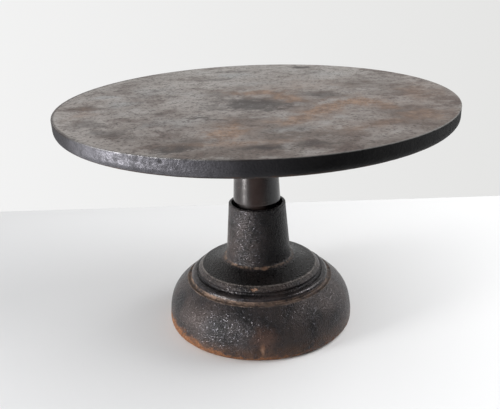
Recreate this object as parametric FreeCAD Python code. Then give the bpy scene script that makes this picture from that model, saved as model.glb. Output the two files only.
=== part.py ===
# Revolving plate stand of a country-store cheese cutter.
# Millimetres, +Z up. The origin is the centre of the foot, on the counter it stands on, and +Z is the
# axis that the plate turns about.
import FreeCAD, Part

import math
import os

# ---------------------------------------------------------------------------------------------------
# Driving dimensions
# ---------------------------------------------------------------------------------------------------

# Pedestal casting, from the counter up. Radii are of the outer surface.
FOOT_R = 88.6             # widest radius of the foot
FOOT_WIDEST_Z = 9.0       # height at which the foot is widest
TOE_IN = 4.4              # the foot's edge on the counter, in from the widest radius
TOE_CURL_IN = 1.3         # where the foot starts to curl in to that edge
TOE_CURL_Z = 2.6          # height at which it does
DOME_H = 46.2             # height of the dome, up to the groove under the bead
DOME_SIDE_IN = 1.0        # the dome's side, midway from the widest point to the shoulder
DOME_SHOULDER_IN = 3.9    # the dome's shoulder
DOME_SHOULDER_DROP = 16.4 # how far the shoulder lies below the dome's top
DOME_SLOPE_IN = 9.4       # a point halfway down the dome's slope
DOME_SLOPE_DROP = 8.4     # how far that point lies below the dome's top
DOME_TOP_IN = 19.1        # end of the slope, at the groove
GROOVE_W = 2.7            # width of the groove between dome and bead
GROOVE_DEPTH = 0.5        # depth of that groove below the dome's top
BEAD_R = 4.0              # radius of the bead's section
BEAD_IN = 7.6             # centre of that section, in from the end of the dome's slope
BEAD_LIFT = 1.9           # height of the bead's centre above the dome's top
BEAD_GROOVE_ANGLE = -25.0 # where the bead rises from the groove, in degrees round its section
BEAD_COVE_ANGLE = 130.0   # where it runs into the cove
COVE_DEPTH = 1.1          # how far the cove is cut in under the ridge
RIDGE_IN = 10.8           # the ridge's outer face, in from the end of the dome's slope
RIDGE_H = 13.2            # height of the ridge's inner edge above the dome's top
RIDGE_W = 4.4             # width of the ridge's sloping top
RIDGE_FALL = 3.9          # fall of that top, from the saddle to the ridge's face
RIDGE_FACE = 1.3          # height of the ridge's upright face
RIDGE_SWELL = 0.35        # swell of the sloping top
SADDLE_RISE = 7.1         # rise of the dished saddle, from its edge to the column's foot
SADDLE_DISH = 0.9         # hollow of the saddle below a straight cone
COLUMN_H = 53.5           # column, from its foot to the socket's lip
COLUMN_FOOT_R = 31.0      # column radius at its foot, before the fillet
COLUMN_TOP_R = 26.9       # column radius at the lip
COLUMN_FILLET = 3.6       # fillet between the column and the saddle
LIP_ROUND = 0.5           # rounding of the lip's outer edge
SOCKET_WALL = 2.7         # wall of the socket at the lip
SOCKET_DEPTH = 22.0       # depth of the socket below the lip

# Hollow underside of the pedestal
FOOT_WALL = 7.4           # wall at the foot
CAVITY_DRAFT = 1.5        # narrowing of the hollow from the counter up to its knee
KNEE_DROP = 5.8           # the hollow's knee below the dome's shoulder
NECK_WALL = 7.0           # wall under the ridge
CEILING_WALL = 8.6        # wall under the saddle
CAVITY_ROUND = 9.0        # rounding of the hollow's corners
HUB_WALL = 7.1            # wall of the hub round the lower bush, at its lower face
HUB_DRAFT = 3.5           # growth of that wall up to the hollow's ceiling
WEB_COUNT = 4             # webs between the hub and the foot
WEB_T = 6.0               # their thickness
WEB_LIFT_AT_HUB = 2.0     # lower edge of a web above the hub's lower face
WEB_LIFT_AT_FOOT = 8.0    # lower edge of a web above the counter, at the foot
BITE = 2.0                # how far hub, webs and ribs are drawn into the iron they join
CORE_RELIEF = 4.1         # cored relief in the column between the bushes, outside their seats
COUNTER_CLEAR = 6.5       # lower end of the spindle above the counter

# Plate casting
PLATE_D = 355.6           # diameter of the plate
RIM_H = 15.5              # height of the rim
RIM_T = 9.0               # thickness of the rim
RIM_DRAFT = 0.4           # narrowing of the rim towards its lower edge
RIM_ROUND = 7.0           # rounding of the rim's lower outer edge
RIM_EDGE = 0.6            # broken edge round the plate's top
WEB_PLATE_T = 8.0         # thickness of the plate between the ribs
PLATE_FILLET = 4.0        # fillet where the underside meets rim and boss
BOSS_LAND = 5.0           # the boss under the plate, beyond the stem's flange
BOSS_T = 13.0             # thickness of plate and boss together
BLIND_WALL = 3.5          # iron left above the blind holes in the boss
RIB_COUNT = 6             # ribs under the plate
RIB_T = 6.0               # their thickness
RIB_LIFT = 2.0            # lower edge of a rib above the rim's lower edge
RIB_SHY = 1.0             # lower edge of a rib above the boss's face
SCREW_ANGLE = 45.0        # direction of the first screw in the boss, in degrees
FILLET_SHARE = 0.8        # largest share of a wall or step that a rounding takes

# Stem
SHOULDER_GAP = 2.8        # gap between the stem's lower edge and the socket's lip
STEM_LEN = 80.7           # stem, from its lower edge to the plate's boss
STEM_LOW_R = 22.1         # radius at the stem's lower edge
STEM_HIGH_R = 18.6        # radius under the flange
STEM_EDGE = 0.5           # broken edge at the stem's lower end
FLANGE_R = 42.0           # flange radius
FLANGE_T = 8.0            # flange thickness
FLANGE_FILLET = 9.0       # fillet between stem and flange
NECK_T = 7.3              # wall of the neck that stands on the upper race

# Spindle and what holds it
SPINDLE_D = 22.2          # journal diameter
RELIEF = 0.6              # relief of the spindle between its journals, on the radius
THREAD_D = 15.8           # diameter of the threaded lower end
TIP_CHAMFER = 1.5         # chamfer of the spindle's ends
TIP_LEN = 3.6             # spindle below the castle nut
TAPER_PIN_D = 6.0         # taper pin, at its middle
TAPER_PIN_TAPER = 0.02    # taper on the diameter, per length
TAPER_PIN_SUNK = 0.5      # pin's ends below the stem's surface
TAPER_PIN_DROP = 34.0     # pin's axis below the flange's upper face

# Bearings
BUSH_WALL = 3.2           # wall of both bushes
UPPER_BUSH_LEN = 26.0     # length of the upper bush
LOWER_BUSH_LEN = 24.0     # length of the lower bush, above its flange
BUSH_FLANGE_T = 2.0       # flange of the lower bush
BUSH_FLANGE_W = 4.6       # and its width beyond the bush
RACE_T = 4.0              # thickness of a race
RACE_EASE = 1.3           # gap between the lower race and the spindle
UPPER_RACE_EASE = 1.7     # gap between the upper race and the socket's wall
GROOVE_CUT = 0.9          # depth of the ball groove in a race
GROOVE_CONFORM = 1.06     # groove radius over ball radius
BALL_D = 6.35             # ball diameter
BALL_COUNT = 12           # number of balls
CAGE_T = 2.2              # thickness of the cage
CAGE_EDGE = 1.0           # brass left between a pocket and the cage's edges

# Fasteners
WASHER_T = 2.5            # keeper washer
WASHER_LAP = 5.8          # how far it reaches out under the lower bush
NUT_AF = 24.0             # castle nut, across flats
NUT_H = 11.0              # and its height
NUT_CROWN = 4.6           # depth of its slots
NUT_SLOT_COUNT = 6        # number of its slots
COTTER_D = 3.0            # split pin, closed
COTTER_SPLIT = 0.2        # gap between its two legs
COTTER_EYE_R = 2.6        # radius of the split pin's eye
COTTER_LEG_LEN = 5.0      # bent length of its legs
SCREW_D = 7.8             # flange screws
SCREW_COUNT = 4           # number of flange screws
SCREW_HEAD_AF = 12.7      # square head, across flats
SCREW_HEAD_T = 5.6        # and its thickness
HEAD_CHAMFER = 0.8        # height of the chamfer on heads and nut
HEAD_CHAMFER_ANGLE = 30.0 # and its slope, in degrees

# Clearances
RUNNING_FIT = 0.05        # on the radius, spindle in its bushes
SLIP_FIT = 0.03           # on the radius, pieces fitted together
SCREW_CLEAR = 0.3         # on the radius, screw in the flange
ROLL_CLEAR = 0.05         # between a ball and each groove
POCKET_CLEAR = 0.15       # between a ball and its pocket
COTTER_CLEAR = 0.3        # between the split pin and the sides of a nut's slot
END_PLAY = 0.4            # between the lower bush and the keeper washer
BUSH_SETBACK = 0.5        # upper bush below the socket's floor
DRILL_DEEPER = 1.0        # blind holes deeper than what goes in

# ---------------------------------------------------------------------------------------------------
# Heights and radii that follow
# ---------------------------------------------------------------------------------------------------

DOME_SHOULDER_Z = DOME_H - DOME_SHOULDER_DROP
DOME_TOP_R = FOOT_R - DOME_TOP_IN
RIDGE_R = DOME_TOP_R - RIDGE_IN
SADDLE_EDGE_R = RIDGE_R - RIDGE_W
SADDLE_EDGE_Z = DOME_H + RIDGE_H
COLUMN_FOOT_Z = SADDLE_EDGE_Z + SADDLE_RISE
LIP_Z = COLUMN_FOOT_Z + COLUMN_H
SOCKET_R = COLUMN_TOP_R - SOCKET_WALL
SOCKET_FLOOR_Z = LIP_Z - SOCKET_DEPTH

TIP_Z = COUNTER_CLEAR
NUT_LOW_Z = TIP_Z + TIP_LEN
NUT_TOP_Z = NUT_LOW_Z + NUT_H
WASHER_TOP_Z = NUT_TOP_Z + WASHER_T
HUB_Z = WASHER_TOP_Z + END_PLAY + BUSH_FLANGE_T
COTTER_Z = NUT_LOW_Z + NUT_CROWN / 2

SPINDLE_R = SPINDLE_D / 2
BUSH_BORE_R = SPINDLE_R + RUNNING_FIT
BUSH_R = BUSH_BORE_R + BUSH_WALL
BUSH_SEAT_R = BUSH_R + SLIP_FIT
BUSH_FLANGE_R = BUSH_R + BUSH_FLANGE_W
WASHER_R = BUSH_BORE_R + WASHER_LAP
HUB_R = BUSH_SEAT_R + HUB_WALL
CORE_R = BUSH_SEAT_R + CORE_RELIEF
UPPER_BUSH_TOP_Z = SOCKET_FLOOR_Z - BUSH_SETBACK
CORE_TOP_Z = UPPER_BUSH_TOP_Z - UPPER_BUSH_LEN
CORE_LOW_Z = HUB_Z + LOWER_BUSH_LEN
CAVITY_R = FOOT_R - FOOT_WALL
CAVITY_NECK_R = RIDGE_R - NECK_WALL
CAVITY_NECK_Z = DOME_H + BEAD_LIFT + BEAD_R
KNEE_Z = DOME_SHOULDER_Z - KNEE_DROP
CEILING_Z = COLUMN_FOOT_Z - CEILING_WALL

BALL_R = BALL_D / 2
GROOVE_R = BALL_R * GROOVE_CONFORM
POCKET_R = BALL_R + POCKET_CLEAR
LOWER_RACE_R = SOCKET_R - SLIP_FIT
LOWER_RACE_BORE_R = SPINDLE_R + RACE_EASE
UPPER_RACE_R = SOCKET_R - UPPER_RACE_EASE
BALL_PITCH_R = (LOWER_RACE_R + LOWER_RACE_BORE_R) / 2
LOWER_RACE_TOP_Z = SOCKET_FLOOR_Z + RACE_T
BALL_Z = LOWER_RACE_TOP_Z - GROOVE_CUT + ROLL_CLEAR + BALL_R
UPPER_RACE_LOW_Z = BALL_Z + BALL_R + ROLL_CLEAR - GROOVE_CUT
UPPER_RACE_TOP_Z = UPPER_RACE_LOW_Z + RACE_T

SHOULDER_Z = LIP_Z + SHOULDER_GAP
FLANGE_TOP_Z = SHOULDER_Z + STEM_LEN
FLANGE_LOW_Z = FLANGE_TOP_Z - FLANGE_T
STEM_BORE_R = SPINDLE_R + SLIP_FIT
NECK_R = STEM_BORE_R + NECK_T
TAPER_PIN_Z = FLANGE_TOP_Z - TAPER_PIN_DROP
SCREW_PITCH_R = (STEM_HIGH_R + FLANGE_FILLET + FLANGE_R) / 2

PLATE_R = PLATE_D / 2
PLATE_TOP_Z = FLANGE_TOP_Z + BOSS_T
BLIND_TOP_Z = PLATE_TOP_Z - BLIND_WALL
SPIGOT_TOP_Z = BLIND_TOP_Z - DRILL_DEEPER
BOSS_R = FLANGE_R + BOSS_LAND
RIM_LOW_Z = PLATE_TOP_Z - RIM_H
WEB_LOW_Z = PLATE_TOP_Z - WEB_PLATE_T
RIM_INNER_R = PLATE_R - RIM_T

AXIS = FreeCAD.Vector(0, 0, 1)
ORIGIN = FreeCAD.Vector(0, 0, 0)


# ---------------------------------------------------------------------------------------------------
# Ways of making a shape
# ---------------------------------------------------------------------------------------------------

def at(radius, height):
    """Point of a turned outline: a radius and a height, in the plane Y = 0."""
    return FreeCAD.Vector(radius, 0, height)


def outline_edges(start, moves):
    """Edges of an outline. A move is a point for a straight line, (through, end) for an arc,
    or a list of points for a smooth curve through them."""
    edges = []
    here = start
    for move in moves:
        if isinstance(move, list):
            curve = Part.BSplineCurve()
            curve.interpolate([here] + move)
            edges.append(curve.toShape())
            here = move[-1]
        elif isinstance(move, tuple):
            edges.append(Part.Arc(here, move[0], move[1]).toShape())
            here = move[1]
        else:
            edges.append(Part.LineSegment(here, move).toShape())
            here = move
    return edges


def turned(start, *moves):
    """Solid turned about +Z from a closed outline in the plane Y = 0."""
    face = Part.Face(Part.Wire(outline_edges(start, moves + (start,))))
    return face.revolve(ORIGIN, AXIS, 360)


def rod(radius, low, high):
    """Round bar on the axis, between two heights."""
    return Part.makeCylinder(radius, high - low, at(0, low))


def tube(outer, inner, low, high):
    """Round tube on the axis, between two heights."""
    return rod(outer, low, high).cut(rod(inner, low, high))


def corner(before, tip, after, radius):
    """Start and (through, end) of an arc that rounds the corner at tip between two straight lines."""
    back = (before - tip).normalize()
    ahead = (after - tip).normalize()
    half_angle = back.getAngle(ahead) / 2
    reach = radius / math.tan(half_angle)
    inward = (back + ahead).normalize()
    middle = tip + inward * (radius / math.sin(half_angle) - radius)
    return tip + back * reach, (middle, tip + ahead * reach)


def slab(points, thickness):
    """Flat web centred on the plane Y = 0, from its outline in that plane."""
    face = Part.Face(Part.makePolygon(points + points[:1]))
    return face.extrude(FreeCAD.Vector(0, thickness, 0)).translated(FreeCAD.Vector(0, -thickness / 2, 0))


def spread(shape, count, first_angle=0.0):
    """Copies of a shape, evenly spaced about the axis."""
    return [shape.rotated(ORIGIN, AXIS, first_angle + 360.0 * i / count) for i in range(count)]


def prism(across_flats, sides, low, high):
    """Upright prism with flats that face +X, for nuts and screw heads."""
    corner_r = across_flats / 2 / math.cos(math.pi / sides)
    angles = [2 * math.pi * (i + 0.5) / sides for i in range(sides)]
    ring = [FreeCAD.Vector(corner_r * math.cos(a), corner_r * math.sin(a), low) for a in angles]
    return Part.Face(Part.makePolygon(ring + ring[:1])).extrude(FreeCAD.Vector(0, 0, high - low))


def chamfered_ends(across_flats, sides, low, high, cut_low, cut_high):
    """Turned envelope that takes the corners off the ends of a prism."""
    corner_r = across_flats / 2 / math.cos(math.pi / sides)
    inner = corner_r - HEAD_CHAMFER / math.tan(math.radians(HEAD_CHAMFER_ANGLE))
    return turned(at(0, low), at(inner if cut_low else corner_r, low), at(corner_r, low + HEAD_CHAMFER),
                  at(corner_r, high - HEAD_CHAMFER), at(inner if cut_high else corner_r, high), at(0, high))


# ---------------------------------------------------------------------------------------------------
# Pedestal
# ---------------------------------------------------------------------------------------------------

def pedestal_body():
    """Outside of the pedestal as one turned solid: foot, dome, bead, cove, ridge, saddle and column."""
    bead = at(DOME_TOP_R - BEAD_IN, DOME_H + BEAD_LIFT)

    def on_bead(angle):
        turn = math.radians(angle)
        return bead + at(BEAD_R * math.cos(turn), BEAD_R * math.sin(turn))

    dome = [at(FOOT_R - TOE_CURL_IN, TOE_CURL_Z),
            at(FOOT_R, FOOT_WIDEST_Z),
            at(FOOT_R - DOME_SIDE_IN, (FOOT_WIDEST_Z + DOME_SHOULDER_Z) / 2),
            at(FOOT_R - DOME_SHOULDER_IN, DOME_SHOULDER_Z),
            at(FOOT_R - DOME_SLOPE_IN, DOME_H - DOME_SLOPE_DROP),
            at(DOME_TOP_R, DOME_H)]
    bead_crown = on_bead((BEAD_GROOVE_ANGLE + BEAD_COVE_ANGLE) / 2)
    saddle_edge = at(SADDLE_EDGE_R, SADDLE_EDGE_Z)
    face_top = at(RIDGE_R, SADDLE_EDGE_Z - RIDGE_FALL)
    face_low = face_top - at(0, RIDGE_FACE)
    ridge_middle = (saddle_edge + face_top) * 0.5 + at(RIDGE_FALL, RIDGE_W).normalize() * RIDGE_SWELL
    cove_start = on_bead(BEAD_COVE_ANGLE)
    cove_middle = at(RIDGE_R - COVE_DEPTH, (cove_start.z + face_low.z) / 2)
    column_foot = at(COLUMN_FOOT_R, COLUMN_FOOT_Z)
    column_top = at(COLUMN_TOP_R, LIP_Z)
    fillet_start, fillet = corner(saddle_edge, column_foot, column_top, COLUMN_FILLET)
    saddle_middle = (saddle_edge + fillet_start) * 0.5 - at(0, SADDLE_DISH)
    lip_start, lip = corner(column_foot, column_top, at(0, LIP_Z), LIP_ROUND)

    return turned(at(0, 0), at(FOOT_R - TOE_IN, 0), dome,
                  at(DOME_TOP_R - GROOVE_W, DOME_H - GROOVE_DEPTH),
                  on_bead(BEAD_GROOVE_ANGLE), (bead_crown, cove_start),
                  (cove_middle, face_low), face_top, (ridge_middle, saddle_edge),
                  (saddle_middle, fillet_start), fillet, lip_start, lip, at(0, LIP_Z))


def pedestal_hollow():
    """Hollow under the foot, without its hub and webs."""
    rim = at(CAVITY_R, 0)
    knee = at(CAVITY_R - CAVITY_DRAFT, KNEE_Z)
    neck = at(CAVITY_NECK_R, CAVITY_NECK_Z)
    ceiling = at(0, CEILING_Z)
    knee_start, knee_arc = corner(rim, knee, neck, CAVITY_ROUND)
    neck_start, neck_arc = corner(knee, neck, ceiling, CAVITY_ROUND)
    return turned(at(0, 0), rim, knee_start, knee_arc, neck_start, neck_arc, ceiling)


def pedestal_webs():
    """Webs that tie the hub to the foot, drawn a little into the iron at both ends."""
    inner_r = HUB_R - BITE
    outer_r = CAVITY_R - CAVITY_DRAFT + BITE
    outline = [at(inner_r, HUB_Z + WEB_LIFT_AT_HUB),
               at(outer_r, WEB_LIFT_AT_FOOT),
               at(outer_r, KNEE_Z),
               at(CAVITY_NECK_R, CAVITY_NECK_Z + BITE),
               at(inner_r, CEILING_Z + BITE)]
    return spread(slab(outline, WEB_T), WEB_COUNT, 180.0 / WEB_COUNT)


def make_pedestal():
    hub = turned(at(0, HUB_Z), at(HUB_R, HUB_Z), at(HUB_R + HUB_DRAFT, CEILING_Z),
                 at(HUB_R + HUB_DRAFT, CEILING_Z + BITE), at(0, CEILING_Z + BITE))
    casting = pedestal_body().cut(pedestal_hollow()).fuse([hub] + pedestal_webs())
    # Bored from both ends, with the column cored out between the two bushes.
    bores = [rod(SOCKET_R, SOCKET_FLOOR_Z, LIP_Z),
             rod(BUSH_SEAT_R, 0, SOCKET_FLOOR_Z),
             rod(CORE_R, CORE_LOW_Z, CORE_TOP_Z)]
    return casting.cut(bores).removeSplitter()


# ---------------------------------------------------------------------------------------------------
# Bushes and thrust bearing
# ---------------------------------------------------------------------------------------------------

def make_upper_bush():
    return tube(BUSH_R, BUSH_BORE_R, CORE_TOP_Z, UPPER_BUSH_TOP_Z)


def make_lower_bush():
    barrel = rod(BUSH_R, HUB_Z, CORE_LOW_Z)
    flange = rod(BUSH_FLANGE_R, HUB_Z - BUSH_FLANGE_T, HUB_Z)
    return barrel.fuse(flange).cut(rod(BUSH_BORE_R, HUB_Z - BUSH_FLANGE_T, CORE_LOW_Z)).removeSplitter()


def make_lower_race():
    groove = Part.makeTorus(BALL_PITCH_R, GROOVE_R, at(0, LOWER_RACE_TOP_Z - GROOVE_CUT + GROOVE_R))
    return tube(LOWER_RACE_R, LOWER_RACE_BORE_R, SOCKET_FLOOR_Z, LOWER_RACE_TOP_Z).cut(groove)


def make_upper_race():
    groove = Part.makeTorus(BALL_PITCH_R, GROOVE_R, at(0, UPPER_RACE_LOW_Z + GROOVE_CUT - GROOVE_R))
    return tube(UPPER_RACE_R, STEM_BORE_R, UPPER_RACE_LOW_Z, UPPER_RACE_TOP_Z).cut(groove)


def ball_centre():
    return at(BALL_PITCH_R, BALL_Z)


def make_cage():
    half_w = POCKET_R + CAGE_EDGE
    ring = tube(BALL_PITCH_R + half_w, BALL_PITCH_R - half_w, BALL_Z - CAGE_T / 2, BALL_Z + CAGE_T / 2)
    pocket = Part.makeCylinder(POCKET_R, CAGE_T, ball_centre() - at(0, CAGE_T / 2))
    return ring.cut(spread(pocket, BALL_COUNT))


# ---------------------------------------------------------------------------------------------------
# Plate, stem and spindle
# ---------------------------------------------------------------------------------------------------

def screw_holes(radius, low, high):
    hole = Part.makeCylinder(radius, high - low, at(SCREW_PITCH_R, low))
    return spread(hole, SCREW_COUNT, SCREW_ANGLE)


def make_plate():
    top_edge = at(PLATE_R, PLATE_TOP_Z)
    low_edge = at(PLATE_R - RIM_DRAFT, RIM_LOW_Z)
    rim_root = at(RIM_INNER_R, WEB_LOW_Z)
    boss_root = at(BOSS_R, WEB_LOW_Z)
    round_r = min(RIM_ROUND, RIM_T * FILLET_SHARE)
    boss_fillet_r = min(PLATE_FILLET, (WEB_LOW_Z - FLANGE_TOP_Z) * FILLET_SHARE)
    edge_start, edge = corner(at(0, PLATE_TOP_Z), top_edge, low_edge, RIM_EDGE)
    low_start, low_round = corner(top_edge, low_edge, at(0, RIM_LOW_Z), round_r)
    rim_start, rim_fillet = corner(at(RIM_INNER_R, RIM_LOW_Z), rim_root, boss_root, PLATE_FILLET)
    boss_start, boss_fillet = corner(rim_root, boss_root, at(BOSS_R, FLANGE_TOP_Z), boss_fillet_r)
    disc = turned(at(0, PLATE_TOP_Z), edge_start, edge, low_start, low_round,
                  at(RIM_INNER_R, RIM_LOW_Z), rim_start, rim_fillet, boss_start, boss_fillet,
                  at(BOSS_R, FLANGE_TOP_Z), at(0, FLANGE_TOP_Z))
    rib = slab([at(BOSS_R - BITE, FLANGE_TOP_Z + RIB_SHY), at(RIM_INNER_R + BITE, RIM_LOW_Z + RIB_LIFT),
                at(RIM_INNER_R + BITE, WEB_LOW_Z + BITE), at(BOSS_R - BITE, WEB_LOW_Z + BITE)], RIB_T)
    holes = screw_holes(SCREW_D / 2 + SLIP_FIT, FLANGE_TOP_Z, BLIND_TOP_Z)
    spigot_hole = rod(STEM_BORE_R, FLANGE_TOP_Z, BLIND_TOP_Z)
    return disc.fuse(spread(rib, RIB_COUNT)).cut(holes + [spigot_hole]).removeSplitter()


def taper_cone(middle_r, reach):
    """Tapered bar along X through stem and spindle, with its thick end on +X."""
    widening = TAPER_PIN_TAPER / 2 * reach
    return Part.makeCone(middle_r - widening, middle_r + widening, 2 * reach,
                         FreeCAD.Vector(-reach, 0, TAPER_PIN_Z), FreeCAD.Vector(1, 0, 0))


def taper_pin():
    return taper_cone(TAPER_PIN_D / 2, stem_radius_at(TAPER_PIN_Z) - TAPER_PIN_SUNK)


def taper_pin_hole():
    return taper_cone(TAPER_PIN_D / 2 + SLIP_FIT, STEM_LOW_R)


def stem_radius_at(height):
    share = (height - SHOULDER_Z) / (FLANGE_LOW_Z - SHOULDER_Z)
    return STEM_LOW_R + (STEM_HIGH_R - STEM_LOW_R) * share


def make_stem():
    low_edge = at(STEM_LOW_R, SHOULDER_Z)
    high_edge = at(STEM_HIGH_R, FLANGE_LOW_Z)
    edge_start, edge = corner(at(0, SHOULDER_Z), low_edge, high_edge, STEM_EDGE)
    fillet_start, fillet = corner(low_edge, high_edge, at(FLANGE_R, FLANGE_LOW_Z), FLANGE_FILLET)
    body = turned(at(STEM_BORE_R, UPPER_RACE_TOP_Z), at(NECK_R, UPPER_RACE_TOP_Z), at(NECK_R, SHOULDER_Z),
                  edge_start, edge, fillet_start, fillet, at(FLANGE_R, FLANGE_LOW_Z),
                  at(FLANGE_R, FLANGE_TOP_Z), at(STEM_BORE_R, FLANGE_TOP_Z))
    holes = screw_holes(SCREW_D / 2 + SCREW_CLEAR, FLANGE_LOW_Z, FLANGE_TOP_Z)
    return body.cut(holes + [taper_pin_hole()])


def make_spindle():
    relief_top = CORE_TOP_Z - RELIEF
    relief_low = CORE_LOW_Z + RELIEF
    bar = turned(at(0, TIP_Z), at(THREAD_D / 2 - TIP_CHAMFER, TIP_Z), at(THREAD_D / 2, TIP_Z + TIP_CHAMFER),
                 at(THREAD_D / 2, WASHER_TOP_Z), at(SPINDLE_R, WASHER_TOP_Z),
                 at(SPINDLE_R, relief_low), at(SPINDLE_R - RELIEF, relief_low + RELIEF),
                 at(SPINDLE_R - RELIEF, relief_top - RELIEF), at(SPINDLE_R, relief_top),
                 at(SPINDLE_R, SPIGOT_TOP_Z - TIP_CHAMFER), at(SPINDLE_R - TIP_CHAMFER, SPIGOT_TOP_Z),
                 at(0, SPIGOT_TOP_Z))
    cotter_hole = Part.makeCylinder(COTTER_D / 2 + SLIP_FIT, THREAD_D,
                                    FreeCAD.Vector(-THREAD_D / 2, 0, COTTER_Z), FreeCAD.Vector(1, 0, 0))
    return bar.cut([cotter_hole, taper_pin_hole()])


# ---------------------------------------------------------------------------------------------------
# Fasteners
# ---------------------------------------------------------------------------------------------------

def make_flange_screw():
    """Square-head screw on +X, driven up from below."""
    head_low = FLANGE_LOW_Z - SCREW_HEAD_T
    head = prism(SCREW_HEAD_AF, 4, head_low, FLANGE_LOW_Z)
    head = head.common(chamfered_ends(SCREW_HEAD_AF, 4, head_low, FLANGE_LOW_Z, True, False))
    shank = rod(SCREW_D / 2, FLANGE_LOW_Z, BLIND_TOP_Z - DRILL_DEEPER)
    return head.fuse(shank).removeSplitter().translated(at(SCREW_PITCH_R, 0))


def make_washer():
    return tube(WASHER_R, THREAD_D / 2 + SLIP_FIT, NUT_TOP_Z, WASHER_TOP_Z)


def make_castle_nut():
    body = prism(NUT_AF, 6, NUT_LOW_Z, NUT_TOP_Z)
    body = body.common(chamfered_ends(NUT_AF, 6, NUT_LOW_Z, NUT_TOP_Z, True, True))
    slot_w = COTTER_D + 2 * COTTER_CLEAR
    slot = Part.makeBox(NUT_AF, slot_w, NUT_CROWN, FreeCAD.Vector(0, -slot_w / 2, NUT_LOW_Z))
    slots = spread(slot, NUT_SLOT_COUNT)
    return body.cut([rod(THREAD_D / 2 + SLIP_FIT, NUT_LOW_Z, NUT_TOP_Z)] + slots).removeSplitter()


def make_split_pin():
    """Split pin along X through the nut's crown: an eye on -X, and two legs bent apart on +X."""
    pin_r = COTTER_D / 2
    wire_r = (pin_r - COTTER_SPLIT) / 2
    reach = NUT_AF / 2 + pin_r
    along_x = FreeCAD.Vector(1, 0, 0)
    shank = Part.makeCylinder(pin_r, 2 * reach, FreeCAD.Vector(-reach, 0, COTTER_Z), along_x)
    pieces = [Part.makeTorus(COTTER_EYE_R, wire_r, FreeCAD.Vector(-reach - COTTER_EYE_R, 0, COTTER_Z),
                             FreeCAD.Vector(0, 1, 0))]
    for side in (1, -1):
        # A leg starts inside the shank, bends through a quarter turn and runs on, up or down.
        leg_root = FreeCAD.Vector(reach - pin_r, 0, COTTER_Z + side * pin_r / 2)
        bend_start = leg_root + along_x * pin_r
        bend_centre = bend_start + at(0, side * pin_r)
        bend_end = bend_centre + along_x * pin_r
        section = Part.Face(Part.Wire(Part.makeCircle(wire_r, bend_start, along_x)))
        pieces += [Part.makeCylinder(wire_r, pin_r, leg_root, along_x),
                   section.revolve(bend_centre, FreeCAD.Vector(0, -side, 0), 90),
                   Part.makeCylinder(wire_r, COTTER_LEG_LEN - pin_r, bend_end, at(0, side))]
    return shank.fuse(pieces).removeSplitter()


# ---------------------------------------------------------------------------------------------------
# All pieces, by name
# ---------------------------------------------------------------------------------------------------

def all_pieces():
    pieces = {
        "pedestal": make_pedestal(),
        "upper_bush": make_upper_bush(),
        "lower_bush": make_lower_bush(),
        "lower_race": make_lower_race(),
        "upper_race": make_upper_race(),
        "ball_cage": make_cage(),
        "top_plate": make_plate(),
        "stem": make_stem(),
        "stem_taper_pin": taper_pin(),
        "spindle": make_spindle(),
        "keeper_washer": make_washer(),
        "castle_nut": make_castle_nut(),
        "split_pin": make_split_pin(),
    }
    ball = Part.makeSphere(BALL_R, ball_centre())
    for number, copy in enumerate(spread(ball, BALL_COUNT), start=1):
        pieces["race_ball_%02d" % number] = copy
    for number, copy in enumerate(spread(make_flange_screw(), SCREW_COUNT, SCREW_ANGLE), start=1):
        pieces["flange_screw_%d" % number] = copy
    return pieces


os.makedirs("parts", exist_ok=True)
for node, shape in all_pieces().items():
    shape.exportStep("parts/%s.step" % node)
    print("%-16s %9.0f mm3  %s solid(s)  %s" % (node, shape.Volume, len(shape.Solids), shape.isValid()))
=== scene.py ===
# A revolving counter stand for cutting cheese: a round iron plate on a turned iron foot, dressed in old,
# handled and rusted iron. The three castings come first, then what holds them together, then the studio.
import cmath
import math
from functools import reduce

import bpy
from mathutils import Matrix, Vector


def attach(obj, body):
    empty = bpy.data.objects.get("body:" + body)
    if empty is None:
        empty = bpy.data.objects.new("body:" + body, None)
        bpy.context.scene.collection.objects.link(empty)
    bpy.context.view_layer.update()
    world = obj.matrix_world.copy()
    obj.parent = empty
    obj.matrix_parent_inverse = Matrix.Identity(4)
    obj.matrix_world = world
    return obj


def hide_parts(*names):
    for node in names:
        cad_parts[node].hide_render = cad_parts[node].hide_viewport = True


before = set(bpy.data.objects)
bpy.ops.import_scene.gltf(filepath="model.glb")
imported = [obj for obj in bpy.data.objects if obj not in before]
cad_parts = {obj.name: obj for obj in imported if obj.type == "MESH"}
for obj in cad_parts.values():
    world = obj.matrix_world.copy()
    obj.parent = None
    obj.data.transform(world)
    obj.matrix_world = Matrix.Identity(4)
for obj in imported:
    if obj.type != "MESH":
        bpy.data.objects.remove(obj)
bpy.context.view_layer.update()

# ------------------------------------------------------------
# Pedestal: one grey-iron casting, poured in sand over a core that leaves its underside hollow, then
# bored from both ends. Its outside has the sand's grain, with blacking worn through on the high edges
# and rust where the damp stays: round the foot, in the groove and where the column starts.

MM = 0.001
FINE_STEP, COARSE_STEP = 1.15, 4.0
MOULDING_STEP = FINE_STEP / 1.6
SOLE_R = 84.2
DOME = [(87.3, 2.6), (88.6, 9.0), (87.6, 19.4), (84.7, 29.8), (79.2, 37.8), (69.5, 46.2)]
GROOVE_END = (66.8, 45.7)
BEAD_CENTRE = (61.9, 48.1)
BEAD_R = 4.0
BEAD_FROM, BEAD_OVER, BEAD_TO = -25, 52, 130
COVE_R = 57.6
RIDGE_R = 58.7
RIDGE_LOW_Z, RIDGE_HIGH_Z = 54.2, 55.5
RIDGE_ROUND = (56.7, 57.7)
SADDLE_EDGE, SADDLE_DIP, SADDLE_END = (54.3, 59.4), (45.0, 61.2), (34.6, 65.2)
COLUMN_FOOT = (31.0, 66.5)
COLUMN_FOOT_ROUND = 3.0
COLUMN_TOP = (26.9, 120.0)
LIP_ROUND = 0.5
SOCKET_R = 24.2
SOCKET_FLOOR_Z = 98.0
BUSH_SEAT_R = 14.38
CORE_R = 18.5
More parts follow.
